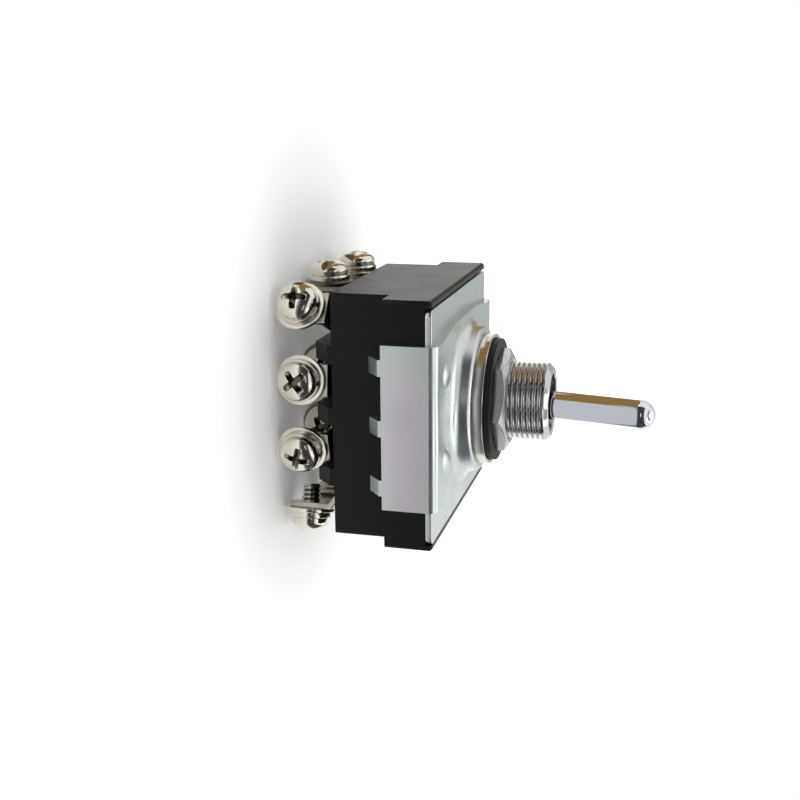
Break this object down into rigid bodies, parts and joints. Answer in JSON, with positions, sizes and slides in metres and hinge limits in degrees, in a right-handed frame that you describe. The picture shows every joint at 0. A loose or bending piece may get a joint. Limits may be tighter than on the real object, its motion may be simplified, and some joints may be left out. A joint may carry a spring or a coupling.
{
  "type": "toggle switch",
  "caption": "Panel toggle switch: black moulded case in a plated bracket, threaded bushing, round lever, and screw terminals behind.",
  "frame": {"origin": "on the bushing's axis, in the plane of the front of the bracket's boss", "axes": "+Z out of the panel along the bushing, X along the row of poles, Y across the throw; the lever rests thrown towards -Y"},
  "size_m": [0.042, 0.0414, 0.0553],
  "materials": {
    "black_phenolic": "moulded thermoset, slight sheen",
    "cover_steel": "pale plating",
    "zinc_steel": "bright zinc plating, faint iridescence",
    "bushing_nickel": "bright plating",
    "ring_zinc": "bright plating",
    "lock_washer_steel": "dark plating",
    "nut_nickel": "bright plating",
    "lever_chrome": "polished chrome",
    "pin_steel": "ground",
    "plunger_nylon": "moulded",
    "spring_steel": "drawn wire",
    "carrier_plastic": "moulded",
    "contact_silver": "silver plated spring metal",
    "terminal_brass": "nickel-washed brass",
    "screw_nickel": "nickel plated, warm",
    "washer_nickel": "nickel plated"
  },
  "bodies": {
    "case": {"terminal_base": "black_phenolic", "cover_plate": "cover_steel", "mounting_bracket": "zinc_steel", "threaded_bushing": "bushing_nickel", "locating_ring": "ring_zinc", "lock_washer": "lock_washer_steel", "hex_nut": "nut_nickel", "pivot_pin": "pin_steel", "spring_washers_1": "washer_nickel", "terminal_1_near": "terminal_brass", "terminal_screw_1_near": "screw_nickel", "flat_washer_1_near": "washer_nickel", "terminal_1_common": "terminal_brass", "terminal_screw_1_common": "screw_nickel", "flat_washer_1_common": "washer_nickel", "terminal_1_far": "terminal_brass", "terminal_screw_1_far": "screw_nickel", "flat_washer_1_far": "washer_nickel", "spring_washers_2": "washer_nickel", "terminal_2_near": "terminal_brass", "terminal_screw_2_near": "screw_nickel", "flat_washer_2_near": "washer_nickel", "terminal_2_common": "terminal_brass", "terminal_screw_2_common": "screw_nickel", "flat_washer_2_common": "washer_nickel", "terminal_2_far": "terminal_brass", "terminal_screw_2_far": "screw_nickel", "flat_washer_2_far": "washer_nickel", "spring_washers_3": "washer_nickel", "terminal_3_near": "terminal_brass", "terminal_screw_3_near": "screw_nickel", "flat_washer_3_near": "washer_nickel", "terminal_3_common": "terminal_brass", "terminal_screw_3_common": "screw_nickel", "flat_washer_3_common": "washer_nickel", "terminal_3_far": "terminal_brass", "terminal_screw_3_far": "screw_nickel", "flat_washer_3_far": "washer_nickel", "spring_washers_4": "washer_nickel", "terminal_4_near": "terminal_brass", "terminal_screw_4_near": "screw_nickel", "flat_washer_4_near": "washer_nickel", "terminal_4_common": "terminal_brass", "terminal_screw_4_common": "screw_nickel", "flat_washer_4_common": "washer_nickel", "terminal_4_far": "terminal_brass", "terminal_screw_4_far": "screw_nickel", "flat_washer_4_far": "washer_nickel"},
    "lever": {"lever": "lever_chrome", "plunger": "plunger_nylon", "plunger_spring": "spring_steel"},
    "slide": {"contact_carrier": "carrier_plastic", "contact_bridge_1": "contact_silver", "contact_bridge_2": "contact_silver", "contact_bridge_3": "contact_silver", "contact_bridge_4": "contact_silver"}
  },
  "joints": [
    {"name": "lever_hinge", "type": "hinge", "parent": "case", "child": "lever", "pos_m": [0, 0, 0.0017], "axis": [-1, 0, 0], "range_deg": [0, 23]},
    {"name": "carrier_slide", "type": "slide", "parent": "case", "child": "slide", "axis": [0, 1, 0], "range_m": [-0.00375, 0]}
  ],
  "couplings": [
    {"joint": "carrier_slide", "follows": "lever_hinge", "m_per_rad": -0.009327}
  ]
}
